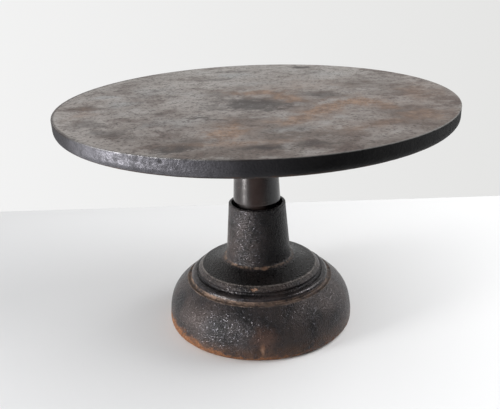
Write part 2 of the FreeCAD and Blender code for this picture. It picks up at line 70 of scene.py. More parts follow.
CORE_LOW_Z = 50.0
CORE_TOP_Z = 71.5
HUB_LOW = (21.48, 26.0)
HUB_HIGH = (24.98, 57.9)
NECK = (51.7, 52.1)
KNEE = (79.7, 24.0)
HOLLOW_R = 81.2
HOLLOW_ROUND = 9.0
WEB = [(19.5, 28.0), (81.7, 8.0), (81.7, 24.0), (51.7, 54.1), (19.5, 59.9)]
WEB_THICK = 6.0
CHIP = (-5.6, -57.6, 56.6)


def straight(outline, step, worked, *ends):
    """Carries an outline on in straight lines. Each point is a radius, a height and how far it is worked smooth."""
    for end in ends:
        r0, z0, _ = outline[-1]
        count = max(1, math.ceil(math.dist((r0, z0), end) / step))
        for i in range(1, count + 1):
            outline.append((r0 + (end[0] - r0) * i / count, z0 + (end[1] - z0) * i / count, worked))


def bend(outline, through, end, step, worked=0.0):
    """Carries an outline on round an arc through a point. Radius and height are one complex number here."""
    a, b, c = (complex(*point[:2]) for point in (outline[-1], through, end))
    w = (c - a) / (b - a)
    centre = a + (b - a) * (w - abs(w) ** 2) / (2j * w.imag)
    radius = abs(a - centre)
    first, middle, last = (cmath.phase(point - centre) for point in (a, b, c))
    turn = (last - first) % math.tau
    if (middle - first) % math.tau > turn:
        turn -= math.tau
    count = max(3, math.ceil(abs(turn) * radius / step))
    for i in range(1, count + 1):
        point = centre + cmath.rect(radius, first + turn * i / count)
        outline.append((point.real, point.imag, worked))


def ease(outline, tip, after, radius, step, worked=0.0):
    """Runs an outline up to a corner and rounds it, on the way to the point after it."""
    here, corner, ahead = Vector(outline[-1][:2]), Vector(tip), Vector(after)
    back, on = (here - corner).normalized(), (ahead - corner).normalized()
    half = back.angle(on) / 2
    reach = radius / math.tan(half)
    middle = corner + (back + on).normalized() * (radius / math.sin(half) - radius)
    straight(outline, step, worked, tuple(corner + back * reach))
    bend(outline, tuple(middle), tuple(corner + on * reach), step / 2, worked)


def flow(outline, points, step, worked=0.0):
    """Carries an outline on along a smooth curve through points, as a natural cubic spline."""
    y = [complex(*point) for point in [outline[-1][:2]] + points]
    spans = [abs(b - a) for a, b in zip(y, y[1:])]
    diagonal, right, bent = [1.0], [0j], [0j] * len(y)
    for i in range(1, len(spans)):
        f = spans[i - 1] / diagonal[-1]
        diagonal.append(2 * (spans[i - 1] + spans[i]) - (f * spans[i - 1] if i > 1 else 0))
        right.append(6 * ((y[i + 1] - y[i]) / spans[i] - (y[i] - y[i - 1]) / spans[i - 1]) - f * right[-1])
    for i in range(len(spans) - 1, 0, -1):
        bent[i] = (right[i] - spans[i] * bent[i + 1]) / diagonal[i]
    for i, span in enumerate(spans):
        count = max(1, math.ceil(span / step))
        for j in range(1, count + 1):
            b = j / count
            a = 1 - b
            curve = ((a ** 3 - a) * bent[i] + (b ** 3 - b) * bent[i + 1]) * span * span / 6
            point = a * y[i] + b * y[i + 1] + curve
            outline.append((point.real, point.imag, worked))


def metres(point):
    """A point or size in millimetres, as metres."""
    return tuple(v * MM for v in point)


def new_object(name, data):
    """Puts a mesh, a lamp or a camera into the scene."""
    made = bpy.data.objects.new(name, data)
    bpy.context.scene.collection.objects.link(made)
    return made


def mesh_object(name, corners, edges, faces):
    """A new mesh in the scene, from its corners in metres."""
    mesh = bpy.data.meshes.new(name)
    mesh.from_pydata(corners, edges, faces)
    return new_object(name, mesh)


def solid_object(name, rings):
    """A closed solid over rings of points in millimetres, which all have as many points."""
    n = len(rings[0])
    corners = [metres(point) for ring in rings for point in ring]
    faces = [(low + i, low + (i + 1) % n, low + n + (i + 1) % n, low + n + i)
             for low in range(0, len(corners) - n, n) for i in range(n)]
    faces += [tuple(reversed(range(n))), tuple(range(len(corners) - n, len(corners)))]
    return mesh_object(name, corners, [], faces)


def outline_object(name, outline):
    """Line of an outline in the plane Y = 0, run so that its skin faces outwards, with each point's worked share."""
    area = sum(a[0] * b[1] - b[0] * a[1] for a, b in zip(outline, outline[1:] + outline[:1]))
    if area > 0:
        outline = outline[::-1]
    edges = [(i, i + 1) for i in range(len(outline) - 1)]
    made = mesh_object(name, [metres((r, 0, z)) for r, z, _ in outline], edges, [])
    worked = made.data.attributes.new("worked", "FLOAT", "POINT")
    worked.data.foreach_set("value", [w for _, _, w in outline])
    return made


def slab_object(name, points, thickness):
    """Flat web centred on the plane Y = 0, from its outline there."""
    return solid_object(name, [[(r, side * thickness / 2, z) for r, z in points] for side in (1, -1)])


def add(tree, kind, inputs=None, **fields):
    """Adds a node, sets its fields, and fills or joins its inputs by name or number."""
    made = tree.nodes.new(kind)
    for field, value in fields.items():
        setattr(made, field, value)
    for key, value in (inputs or {}).items():
        if isinstance(value, bpy.types.NodeSocket):
            tree.links.new(value, made.inputs[key])
        else:
            made.inputs[key].default_value = value
    return made


def tree_of(values):
    """The node tree that values are worked out in."""
    return next(value.id_data for value in values if isinstance(value, bpy.types.NodeSocket))


def calc(operation, *values, clamp=False):
    """One sum on numbers."""
    made = add(tree_of(values), "ShaderNodeMath", dict(enumerate(values)), operation=operation, use_clamp=clamp)
    return made.outputs[0]


def times(*values):
    """The product of several values."""
    return reduce(lambda product, value: calc("MULTIPLY", product, value), values)


def most(*values):
    """The largest of several values."""
    return reduce(lambda largest, value: calc("MAXIMUM", largest, value), values)


def scaled(value, factor, added):
    """A value times a factor, with something added."""
    return calc("MULTIPLY_ADD", value, factor, added)


def rest_of(share):
    """What a share leaves of the whole."""
    return calc("SUBTRACT", 1.0, share)


def vector_calc(operation, *values):
    """One sum on vectors."""
    made = add(tree_of(values), "ShaderNodeVectorMath", dict(enumerate(values)), operation=operation)
    return made.outputs["Value" if operation in ("DOT_PRODUCT", "LENGTH", "DISTANCE") else "Vector"]


def parts(vector):
    """The three numbers of a vector, by their names."""
    return add(vector.id_data, "ShaderNodeSeparateXYZ", {0: vector}).outputs


def ramp(value, low, high, smooth=True):
    """Rises from 0 at low to 1 at high."""
    made = add(value.id_data, "ShaderNodeMapRange", {"Value": value, "From Min": low, "From Max": high},
               interpolation_type="SMOOTHSTEP" if smooth else "LINEAR")
    return made.outputs["Result"]


def noise(place, scale, detail=2.0, rough=0.5, warp=0.0):
    """Cloudy noise. The scale is in lumps to the metre."""
    made = add(place.id_data, "ShaderNodeTexNoise", {"Vector": place, "Scale": scale, "Detail": detail,
                                                     "Roughness": rough, "Distortion": warp})
    return made.outputs[0]


def cells(place, scale, out="Distance"):
    """Scattered cells. The scale is in cells to the metre."""
    return add(place.id_data, "ShaderNodeTexVoronoi", {"Vector": place, "Scale": scale}).outputs[out]


def new_tree(family, name, takes, gives):
    """Starts a node tree with named inputs and outputs: an input has its first value here, or its kind in words."""
    tree = bpy.data.node_groups.new(name, family + "NodeTree")
    for label, value in takes.items():
        in_words = isinstance(value, str)
        kind = value if in_words else type(value).__name__.capitalize()
        made = tree.interface.new_socket(label, in_out="INPUT", socket_type="NodeSocket" + kind)
        if not in_words:
            made.default_value = value
    for label, kind in gives.items():
        tree.interface.new_socket(label, in_out="OUTPUT", socket_type="NodeSocket" + kind)
    return tree, add(tree, "NodeGroupInput").outputs


def casting_tree():
    """Turns an outline about +Z, gives the skin its sand-cast lumps and pits, then joins webs and cuts holes."""
    tree, given = new_tree("Geometry", "turned casting", {
        "Outline": "Geometry", "Segments": 512, "Swell Depth": 0.0, "Lump Depth": 0.0, "Pit Depth": 0.0,
        "Pit Share": 0.1, "Seed": 0.0, "Chip Place": "Vector", "Chip Size": 0.0, "Chip Depth": 0.0, "Web": "Object",
        "Web Count": 1, "Web Angle": 0.0, "Hole": "Object", "Hole Count": 1, "Hole Angle": 0.0, "Bore": "Object",
        "Finish": "Material"}, {"Casting": "Geometry"})

    def node(kind, inputs=None, **fields):
        """Adds a geometry node, and returns what it gives first."""
        return add(tree, "GeometryNode" + kind, inputs, **fields).outputs[0]

    def stored(mesh, name, value):
        """A mesh with a number kept on each of its points."""
        return node("StoreNamedAttribute", {"Geometry": mesh, "Name": name, "Value": value}, data_type="FLOAT",
                    domain="POINT")

    def around(piece, count, first=0.0):
        """Copies of a piece, evenly spaced about the axis."""
        info = add(tree, "GeometryNodeObjectInfo", {"Object": piece, "As Instance": False}).outputs["Geometry"]
        line = node("MeshLine", {"Count": count, "Offset": (0, 0, 0)})
        turn = calc("ADD", calc("DIVIDE", times(index, math.tau), count), first)
        turn = add(tree, "ShaderNodeCombineXYZ", {"Z": turn}).outputs[0]
        copies = node("InstanceOnPoints", {"Points": line, "Instance": info, "Rotation": turn})
        return node("RealizeInstances", {"Geometry": copies})

    here, facing, index = (node("Input" + kind) for kind in ("Position", "Normal", "Index"))
    worked = node("InputNamedAttribute", {"Name": "worked"}, data_type="FLOAT")

    # The turned skin: one ring of the grid for each point of the outline.
    size = add(tree, "GeometryNodeAttributeDomainSize", {"Geometry": given["Outline"]}, component="MESH").outputs
    across = calc("ADD", given["Segments"], 1.0)
    grid = node("MeshGrid", {"Vertices X": size["Point Count"], "Vertices Y": across})
    ring = calc("FLOOR", calc("DIVIDE", calc("ADD", index, 0.5), across))
    angle = times(calc("DIVIDE", calc("SUBTRACT", index, times(ring, across)), given["Segments"]), math.tau)
    line, finish = (node("SampleIndex", {"Geometry": given["Outline"], "Index": ring, "Value": value}, data_type=kind)
                    for value, kind in ((here, "FLOAT_VECTOR"), (worked, "FLOAT")))
    spot = parts(line)
    turned = add(tree, "ShaderNodeCombineXYZ", {"X": times(spot["X"], calc("COSINE", angle)),
                                                "Y": times(spot["X"], calc("SINE", angle)), "Z": spot["Z"]})
    skin = node("SetPosition", {"Geometry": stored(grid, "worked", finish), "Position": turned.outputs[0]})
    skin = node("MergeByDistance", {"Geometry": skin, "Distance": 1e-6})

    # Sand-cast skin, always into the iron: slow swells, lumps, and pits in some of the cells.
    place = vector_calc("ADD", here, given["Seed"])
    swell = times(noise(place, 38.0, 1.0), given["Swell Depth"])
    lump = times(noise(place, 260.0, 3.0, 0.6), given["Lump Depth"])
    hollow = ramp(cells(place, 190.0), 0.34, 0.05)
    chosen = ramp(parts(cells(place, 190.0, "Color"))["X"], rest_of(given["Pit Share"]), 1.0)
    pit = times(hollow, chosen, given["Pit Depth"])
    from_chip = calc("DIVIDE", vector_calc("DISTANCE", here, given["Chip Place"]), given["Chip Size"])
    chip = times(ramp(from_chip, 1.0, 0.35), given["Chip Depth"])
    sunk = calc("ADD", chip, times(rest_of(worked), calc("ADD", swell, calc("ADD", lump, pit))))
    inward = add(tree, "ShaderNodeVectorMath", {0: facing, "Scale": times(sunk, -1.0)}, operation="SCALE")
    skin = node("SetPosition", {"Geometry": skin, "Offset": inward.outputs[0]})

    webs = node("SubdivideMesh", {"Mesh": around(given["Web"], given["Web Count"], given["Web Angle"]), "Level": 3})
    joined = add(tree, "GeometryNodeMeshBoolean", operation="UNION", solver="MANIFOLD")
    bored = add(tree, "GeometryNodeMeshBoolean", {"Mesh 1": joined.outputs[0]}, operation="DIFFERENCE",
                solver="MANIFOLD")
    holes = around(given["Hole"], given["Hole Count"], given["Hole Angle"])
    for solid, boolean in ((skin, joined), (webs, joined), (holes, bored), (around(given["Bore"], 1), bored)):
        tree.links.new(solid, boolean.inputs["Mesh 2"])

    # How far each point stands proud of the skin round it, in millimetres, for wear on edges and rust in corners.
    about = node("BlurAttribute", {"Value": here, "Iterations": 4}, data_type="FLOAT_VECTOR")
    proud = vector_calc("DOT_PRODUCT", vector_calc("SUBTRACT", here, about), facing)
    done = stored(bored.outputs[0], "proud", times(proud, 1 / MM))
    smooth = calc("LESS_THAN", node("InputMeshEdgeAngle"), math.radians(38))
    for domain, where in (("FACE", True), ("EDGE", smooth)):
        done = node("SetShadeSmooth", {"Geometry": done, "Shade Smooth": where}, domain=domain)
    done = node("SetMaterial", {"Geometry": node("RealizeInstances", {"Geometry": done}), "Material": given["Finish"]})
    add(tree, "NodeGroupOutput", {"Casting": done})
    return tree


CASTING = casting_tree()


def cast(name, outline, **values):
    """Runs the casting tree once over an outline, keeps a plain mesh and clears what it was made from."""
    base = outline_object(name + "_outline", outline)
    runner = base.modifiers.new("casting", "NODES")
    runner.node_group = CASTING
    for item in CASTING.interface.items_tree:
        if item.in_out == "INPUT" and item.name in values:
            runner[item.identifier] = values[item.name]
    base.update_tag()
    graph = bpy.context.evaluated_depsgraph_get()
    mesh = bpy.data.meshes.new_from_object(base.evaluated_get(graph), preserve_all_data_layers=True, depsgraph=graph)
    base.modifiers.clear()
    base.data = mesh
    base.name = mesh.name = name
    for value in values.values():
        if isinstance(value, bpy.types.Object):
            bpy.data.objects.remove(value)
    return base


def effect(name, takes, **gives):
    """Starts a shader effect that several finishes share. It acts at a place."""
    return new_tree("Shader", name, {"Place": "Vector", **takes}, gives)


def lay(share, under, over, strength=1.0):
    """Lays one colour over another by a share, thinned by a strength."""
    under, over = ((*c, 1.0) if isinstance(c, tuple) else c for c in (under, over))
    if strength != 1.0:
        share = times(share, strength)
    return add(share.id_data, "ShaderNodeMix", {"Factor": share, 6: under, 7: over}, data_type="RGBA").outputs[2]


def new_finish(name):
    """Starts a material, and returns it with the place on the piece."""
    material = bpy.data.materials.new(name)
    material.use_nodes = True
    material.node_tree.nodes.clear()
    return material, add(material.node_tree, "ShaderNodeTexCoord").outputs["Object"]


def spaced(inputs):
    """Names of sockets, with the spaces that a keyword can't have."""
    return {key.replace("_", " "): value for key, value in inputs.items()}


def close_finish(height, depth, **inputs):
    """Ends a material: bump of a real depth into a Principled surface."""
    tree = height.id_data
    bump = add(tree, "ShaderNodeBump", {"Height": height, "Distance": depth, "Strength": 1.0})
    skin = add(tree, "ShaderNodeBsdfPrincipled", {**spaced(inputs), "Normal": bump.outputs[0]})
    add(tree, "ShaderNodeOutputMaterial", {"Surface": skin.outputs[0]})


def use(group, place, **inputs):
    """Puts a shared effect into a material with its own values, and returns what it gives."""
    return add(place.id_data, "ShaderNodeGroup", {"Place": place, **spaced(inputs)}, node_tree=group).outputs


def sand_grain():
    """Effect: the grain that moulding sand leaves on iron."""
    tree, given = effect("sand grain", {"Grains": 700.0}, Height="Float", Speckle="Float")
    place, grains = given["Place"], given["Grains"]
    lumps = noise(place, grains, 4.0, 0.62)
    gaps = cells(place, times(grains, 1.3))
    speckle = ramp(noise(place, times(grains, 0.8)), 0.52, 0.68)
    add(tree, "NodeGroupOutput", {"Height": scaled(gaps, 0.45, times(lumps, 0.7)), "Speckle": speckle})
    return tree


def rust_bloom():
    """Effect: patchy rust, from dark brown through orange to ochre, over a given share of the iron."""
    tree, given = effect("rust bloom", {"Share": 0.5, "Blooms": 60.0}, Color="Color", Mask="Float",
                         Height="Float")
    place, blooms = given["Place"], given["Blooms"]
    brown, orange, ochre = (0.042, 0.021, 0.014), (0.20, 0.080, 0.032), (0.42, 0.22, 0.095)
    body = ramp(noise(place, blooms, 7.0, 0.68, 0.5), 0.28, 0.72, smooth=False)
    bar = calc("SUBTRACT", 1.04, times(given["Share"], 1.08))
    mask = ramp(body, calc("SUBTRACT", bar, 0.10), calc("ADD", bar, 0.22))
    fine = noise(place, times(blooms, 6.0), 5.0, 0.7)
    tone = lay(ramp(fine, 0.54, 0.68), lay(ramp(fine, 0.36, 0.54), brown, orange), ochre)
    add(tree, "NodeGroupOutput", {"Color": tone, "Mask": mask, "Height": fine})
    return tree


def blot_mark():
    """Effect: one soft blot at a place, with half sizes along its own axes and a torn edge."""
    tree, given = effect("blot", {"Centre": "Vector", "Half Size": "Vector", "Turn": 0.0, "Tear": 0.0, "Inner": 0.2},
                         Mask="Float")
    off = vector_calc("SUBTRACT", given["Place"], given["Centre"])
    turned = add(tree, "ShaderNodeVectorRotate", {"Vector": off, "Angle": times(given["Turn"], -1.0)},
                 rotation_type="Z_AXIS").outputs[0]
    far = vector_calc("LENGTH", vector_calc("DIVIDE", turned, given["Half Size"]))
    add(tree, "NodeGroupOutput", {"Mask": ramp(calc("ADD", far, given["Tear"]), 1.0, given["Inner"])})
    return tree


def worn_edge():
    """Effect: broken wear along edges, from how far each point stands proud of the skin round it."""
    tree, given = effect("worn edge", {"Proud": 0.0, "Low": 0.10, "High": 0.34, "Broken": 0.5}, Mask="Float")
    low, high = (calc(way, given["Broken"], 0.12) for way in ("SUBTRACT", "ADD"))
    whole = ramp(noise(given["Place"], 150.0, 5.0, 0.7), low, high)
    stands = ramp(given["Proud"], given["Low"], given["High"])
    add(tree, "NodeGroupOutput", {"Mask": times(stands, whole)})
    return tree


GRAIN, RUST, BLOT, WEAR = sand_grain(), rust_bloom(), blot_mark(), worn_edge()


def blot(place, tear, centre, half_size, turn=0.0, inner=0.2):
    """One blot, in millimetres and degrees, torn by a noise about 0."""
    return use(BLOT, place, Centre=metres(centre), Half_Size=metres(half_size), Turn=math.radians(turn), Tear=tear,
               Inner=inner)[0]


def torn(place, scale, depth):
    """A noise about 0, for tearing the edges of blots."""
    return times(calc("SUBTRACT", noise(place, scale, 6.0, 0.68), 0.5), depth)


def rise(value, low, high):
    """Rises from 0 at low to 1 at high, both in millimetres."""
    return ramp(value, low * MM, high * MM)


def band(value, low, high, fade):
    """1 between two values in millimetres, fading out beyond them."""
    return times(rise(value, low - fade, low), rise(value, high + fade, high))


def from_axis(at):
    """How far a place lies from the axis."""
    return calc("SQRT", calc("ADD", *(calc("POWER", at[axis], 2.0) for axis in "XY")))


def proud_of(place):
    """How far the skin stands proud of what is round it, as the casting tree left it."""
    return add(place.id_data, "ShaderNodeAttribute", attribute_name="proud").outputs["Fac"]


def pedestal_finish():
    """Blacked iron, with painted shadow on the saddle under the plate and painted shade on the column's right side.
    Bare edges, rust and dust have their places on the pedestal, in millimetres.
    """
    blacking, thin_blacking, glint = (0.011, 0.010, 0.0105), (0.043, 0.036, 0.036), (0.13, 0.125, 0.138)
    browned = (0.052, 0.039, 0.035)
    painted_saddle_shadow, painted_right_shade = (0.006, 0.0055, 0.0055), (0.0045, 0.0045, 0.005)
    bare_crest, bare_ridge, bare_edge = (0.15, 0.133, 0.122), (0.085, 0.068, 0.060), (0.09, 0.082, 0.082)
    rust_stain, rust_run, dust = (0.115, 0.060, 0.036), (0.105, 0.058, 0.043), (0.26, 0.178, 0.13)
    fresh_rust, pale_rust = (0.22, 0.095, 0.045), (0.42, 0.25, 0.16)
    material, place = new_finish("blacked pedestal iron")
    at, proud = parts(place), proud_of(place)
    x, z, radius = at["X"], at["Z"], from_axis(at)
    grain = use(GRAIN, place, Grains=560.0)
    patch, breakup = noise(place, 24.0, 5.0, 0.6, 0.4), noise(place, 150.0, 5.0, 0.7)
    iron = lay(ramp(noise(place, 50.0, 6.0, 0.65), 0.35, 0.7), blacking, thin_blacking)
    iron = lay(grain["Speckle"], iron, glint, 0.4)
    iron = lay(ramp(patch, 0.44, 0.66), iron, browned, 0.65)
    # Painted shadow: the saddle under the plate is darkened almost to black.
    iron = lay(times(band(radius, 36.0, 54.0, 1.0), band(z, 57.5, 67.0, 2.0)), iron, painted_saddle_shadow, 0.8)
    # Painted shade: the column's right side is darkened.
    iron = lay(times(rise(x, -6.0, 18.0), rise(z, 64.0, 70.0), scaled(breakup, 0.4, 0.65)), iron, painted_right_shade)
    crest = times(band(radius, 54.5, 55.2, 0.6), rise(z, 56.0, 57.0), ramp(breakup, 0.3, 0.55))
    ridge = times(band(z, 55.4, 58.2, 0.8), rise(radius, 55.0, 55.8), ramp(breakup, 0.35, 0.6))
    iron = lay(ridge, lay(crest, iron, bare_crest, 0.8), bare_ridge, 0.36)
    iron = lay(use(WEAR, place, Proud=proud)[0], iron, bare_edge, 0.6)

    # Rust: a ragged band along the foot, higher on the left, and stains down the front and under the ridge.
    tear = torn(place, 120.0, 1.6)
    band_height = scaled(rise(x, -20.0, -85.0), 12.0 * MM, 9.0 * MM)
    damp = times(ramp(calc("DIVIDE", z, band_height), 1.25, 0.15), scaled(rise(x, 60.0, -30.0), 0.26, 0.62))
    corner = times(ramp(proud, -0.07, -0.22), ramp(breakup, 0.45, 0.7))
    iron = lay(times(rise(z, 20.0, 4.0), ramp(breakup, 0.30, 0.6)), iron, rust_stain, 0.6)
    bloom = use(RUST, place, Blooms=130.0, Share=most(damp, times(corner, 0.4)))
    iron = lay(bloom["Mask"], iron, bloom["Color"], 0.88)
    iron = lay(blot(place, tear, (2.0, -86.0, 24.0), (17.0, 30.0, 15.0), inner=0.0), iron, rust_run, 0.6)

    # Dust, lying in the groove and round the foot of the column, then fresh rust in the chip and two spots.
    groove = times(band(radius, 64.2, 69.0, 1.4), band(z, 45.0, 47.8, 1.0), ramp(breakup, 0.34, 0.62))
    collar = times(band(z, 65.6, 66.2, 0.7), rise(radius, 37.0, 34.5), ramp(breakup, 0.42, 0.58))
    dusty = times(scaled(rise(x, 50.0, -40.0), 0.45, 0.4), most(groove, collar))
    iron = lay(dusty, iron, dust)
    drip = blot(place, tear, (1.0, -88.0, 12.0), (3.0, 30.0, 8.0), inner=0.1)
    spot = blot(place, tear, (5.5, -33.0, 66.0), (5.0, 4.0, 2.0))
    chip = blot(place, torn(place, 480.0, 3.0), CHIP, (3.6, 3.0, 2.4))
    fresh = most(times(chip, 0.85), times(most(spot, drip), 0.45))
    iron = lay(fresh, iron, lay(ramp(breakup, 0.4, 0.62), fresh_rust, pale_rust))

    # The bead is rubbed smoother than the rest, and rust and dust are dull.
    dull = most(bloom["Mask"], dusty, fresh)
    bead = times(band(radius, 60.0, 65.2, 1.0), band(z, 48.5, 52.5, 1.0))
    gloss = scaled(grain["Speckle"], -0.12, scaled(patch, 0.2, 0.24))
    height = scaled(bloom["Mask"], 0.3, times(grain["Height"], scaled(bead, -0.7, 1.0)))
    close_finish(height, 0.9 * MM, Base_Color=iron, Specular_IOR_Level=0.24,
                 Roughness=scaled(bead, -0.10, scaled(dull, 0.4, gloss)),
                 Metallic=times(rest_of(dull), scaled(grain["Speckle"], 0.55, 0.3)))
    return material


def on_bead(degrees):
    """A point of the bead's round, at an angle from the horizontal."""
    a = math.radians(degrees)
    return BEAD_CENTRE[0] + BEAD_R * math.cos(a), BEAD_CENTRE[1] + BEAD_R * math.sin(a)


foot = [(SOLE_R, 0.0, 0.3)]
flow(foot, DOME, FINE_STEP)
straight(foot, FINE_STEP, 0.0, GROOVE_END, on_bead(BEAD_FROM))
bend(foot, on_bead(BEAD_OVER), on_bead(BEAD_TO), MOULDING_STEP)
bend(foot, (COVE_R, (on_bead(BEAD_TO)[1] + RIDGE_LOW_Z) / 2), (RIDGE_R, RIDGE_LOW_Z), MOULDING_STEP)
straight(foot, MOULDING_STEP, 0.0, (RIDGE_R, RIDGE_HIGH_Z))
bend(foot, RIDGE_ROUND, SADDLE_EDGE, MOULDING_STEP)
bend(foot, SADDLE_DIP, SADDLE_END, FINE_STEP)
ease(foot, COLUMN_FOOT, COLUMN_TOP, COLUMN_FOOT_ROUND, FINE_STEP)
ease(foot, COLUMN_TOP, (SOCKET_R, COLUMN_TOP[1]), LIP_ROUND, FINE_STEP)
straight(foot, FINE_STEP, 1.0, (SOCKET_R, COLUMN_TOP[1]))
straight(foot, COARSE_STEP, 1.0, (SOCKET_R, SOCKET_FLOOR_Z), (BUSH_SEAT_R, SOCKET_FLOOR_Z), (BUSH_SEAT_R, CORE_TOP_Z),
         (CORE_R, CORE_TOP_Z), (CORE_R, CORE_LOW_Z), (BUSH_SEAT_R, CORE_LOW_Z), (BUSH_SEAT_R, HUB_LOW[1]))
straight(foot, COARSE_STEP, 0.6, HUB_LOW)
straight(foot, COARSE_STEP, 0.0, HUB_HIGH)
ease(foot, (NECK[0], HUB_HIGH[1]), NECK, 0.6, COARSE_STEP)
ease(foot, NECK, KNEE, HOLLOW_ROUND * 0.6, COARSE_STEP)
ease(foot, KNEE, (HOLLOW_R, 0.0), HOLLOW_ROUND, COARSE_STEP)
straight(foot, COARSE_STEP, 0.0, (HOLLOW_R, 0.0))
straight(foot, FINE_STEP, 0.3, (SOLE_R, 0.0))

pedestal = cast("pedestal_casting", foot, **{
    "Segments": 384, "Swell Depth": 0.35 * MM, "Lump Depth": 0.25 * MM, "Pit Depth": 0.5 * MM, "Pit Share": 0.25,
    "Chip Place": metres(CHIP), "Chip Size": 3.0 * MM, "Chip Depth": 0.7 * MM,
    "Web": slab_object("web", WEB, WEB_THICK), "Web Count": 4, "Web Angle": math.radians(45),
    "Finish": pedestal_finish()})
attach(pedestal, "pedestal")
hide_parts("pedestal")

# ------------------------------------------------------------
# Plate: one grey-iron casting, 14 inches across, faced flat on top and turned on its rim. Six ribs
# run from its boss to the rim underneath. The top is bare iron, stained and rusted by years of use.

PLATE_R = 177.8
PLATE_TOP_Z = 216.5
RIM_LOW = (177.4, 201.0)
RIM_INNER_R = 168.8
WEB_LOW_Z = 208.5
BOSS_R = 47.0
BOSS_Z = 203.5
SPIGOT_R = 11.13
SPIGOT_TOP_Z = 213.0
SCREW_PITCH_R = 34.8
RIM_ROUND = 7.0
FILLET = 4.0
RIB = [(45.0, 204.5), (170.8, 203.0), (170.8, 210.5), (45.0, 210.5)]
RIB_THICK = 6.0
TAPPED_R = 3.93
RIM_CHIP = (-66.0, -165.0, 213.5)
WORN_RIM_ANGLE = -119.0

# Marks on the plate's face: centre, half length, half width, turn, how solid and how strong.
PALE_SPOTS = ((-142, 35, 20, 12, 10, 0.2, 0.6), (-119, 3, 26, 18, 0, 0.2, 0.4), (-20, 121, 30, 16, 0, 0.2, 0.5),
              (10, 72, 44, 16, 0, 0.0, 0.4), (60, -66, 26, 12, 0, 0.0, 0.3), (-62, -70, 44, 24, 10, 0.0, 0.35),
              (30, -104, 36, 12, 5, 0.0, 0.4), (-100, 50, 40, 26, 20, 0.0, 0.3), (75, 110, 40, 20, -30, 0.0, 0.3))
DARK_SPOTS = ((2, -16, 66, 36, -10, 0.3, 0.85), (60, 12, 44, 20, -30, 0.2, 0.7), (-30, 30, 32, 22, 0, 0.0, 0.45),
              (-57, -147, 22, 12, 12, 0.5, 0.85), (6, -149, 24, 11, 0, 0.3, 0.9), (40, -143, 22, 14, 5, 0.2, 0.75),
              (-47, -58, 14, 2.4, 8, 0.4, 0.85), (-30, -66, 16, 2.4, -20, 0.4, 0.8),
              (-40, -126, 30, 16, 0, 0.0, 0.5), (-150, -12, 24, 20, 60, 0.1, 0.75),
              (-140, -66, 36, 20, -60, 0.1, 0.7), (-110, -100, 36, 16, -40, 0.0, 0.5),
              (124, -60, 34, 20, -20, 0.0, 0.5), (50, 152, 20, 9, -20, 0.3, 0.85), (-20, 140, 26, 8, 0, 0.2, 0.5),
              (-38, 100, 28, 10, 0, 0.0, 0.5), (90, 60, 50, 24, -20, 0.0, 0.3), (20, -128, 18, 8, 0, 0.0, 0.65),
              (-78, 28, 10, 4, 0, 0.2, 0.5), (70, -112, 40, 14, 10, 0.0, 0.4), (-90, -40, 26, 6, 0, 0.0, 0.35))
RUST_SPOTS = ((8, 30, 38, 15, -15, 0.3, 0.75), (32, 4, 22, 14, -55, 0.3, 0.8), (36, -72, 30, 15, 35, 0.3, 0.75),
              (60, -42, 36, 19, 50, 0.4, 0.85), (88, -20, 28, 20, -15, 0.4, 0.9), (110, -38, 24, 15, -45, 0.1, 0.55),
              (-22, -105, 36, 18, 82, 0.4, 0.8), (132, -72, 30, 24, -20, 0.1, 0.5), (-8, -137, 50, 9, 3, 0.0, 0.6),
              (70, -105, 26, 14, 0, 0.0, 0.5), (100, -95, 36, 14, 30, 0.0, 0.4), (150, 10, 22, 50, 0, 0.0, 0.35),
              (-150, -30, 16, 40, 0, 0.0, 0.3), (50, 60, 60, 30, 0, 0.0, 0.25))


def rod_object(name, start, end, start_r, end_r, sides=48):
    """Round cutter between two points, a little tapered if its radii differ."""
    lean = (Vector(end) - Vector(start)).to_track_quat("Z", "Y")
    turns = [math.tau * i / sides for i in range(sides)]
    return solid_object(name, [[Vector(centre) + lean @ Vector((r * math.cos(a), r * math.sin(a), 0)) for a in turns]
                               for centre, r in ((start, start_r), (end, end_r))])


def face_blot(place, tear, x, y, long, wide, turn, inner):
    """One blot on the plate's face."""
    return blot(place, tear, (x, y, PLATE_TOP_Z), (long, wide, 20.0), turn, inner)


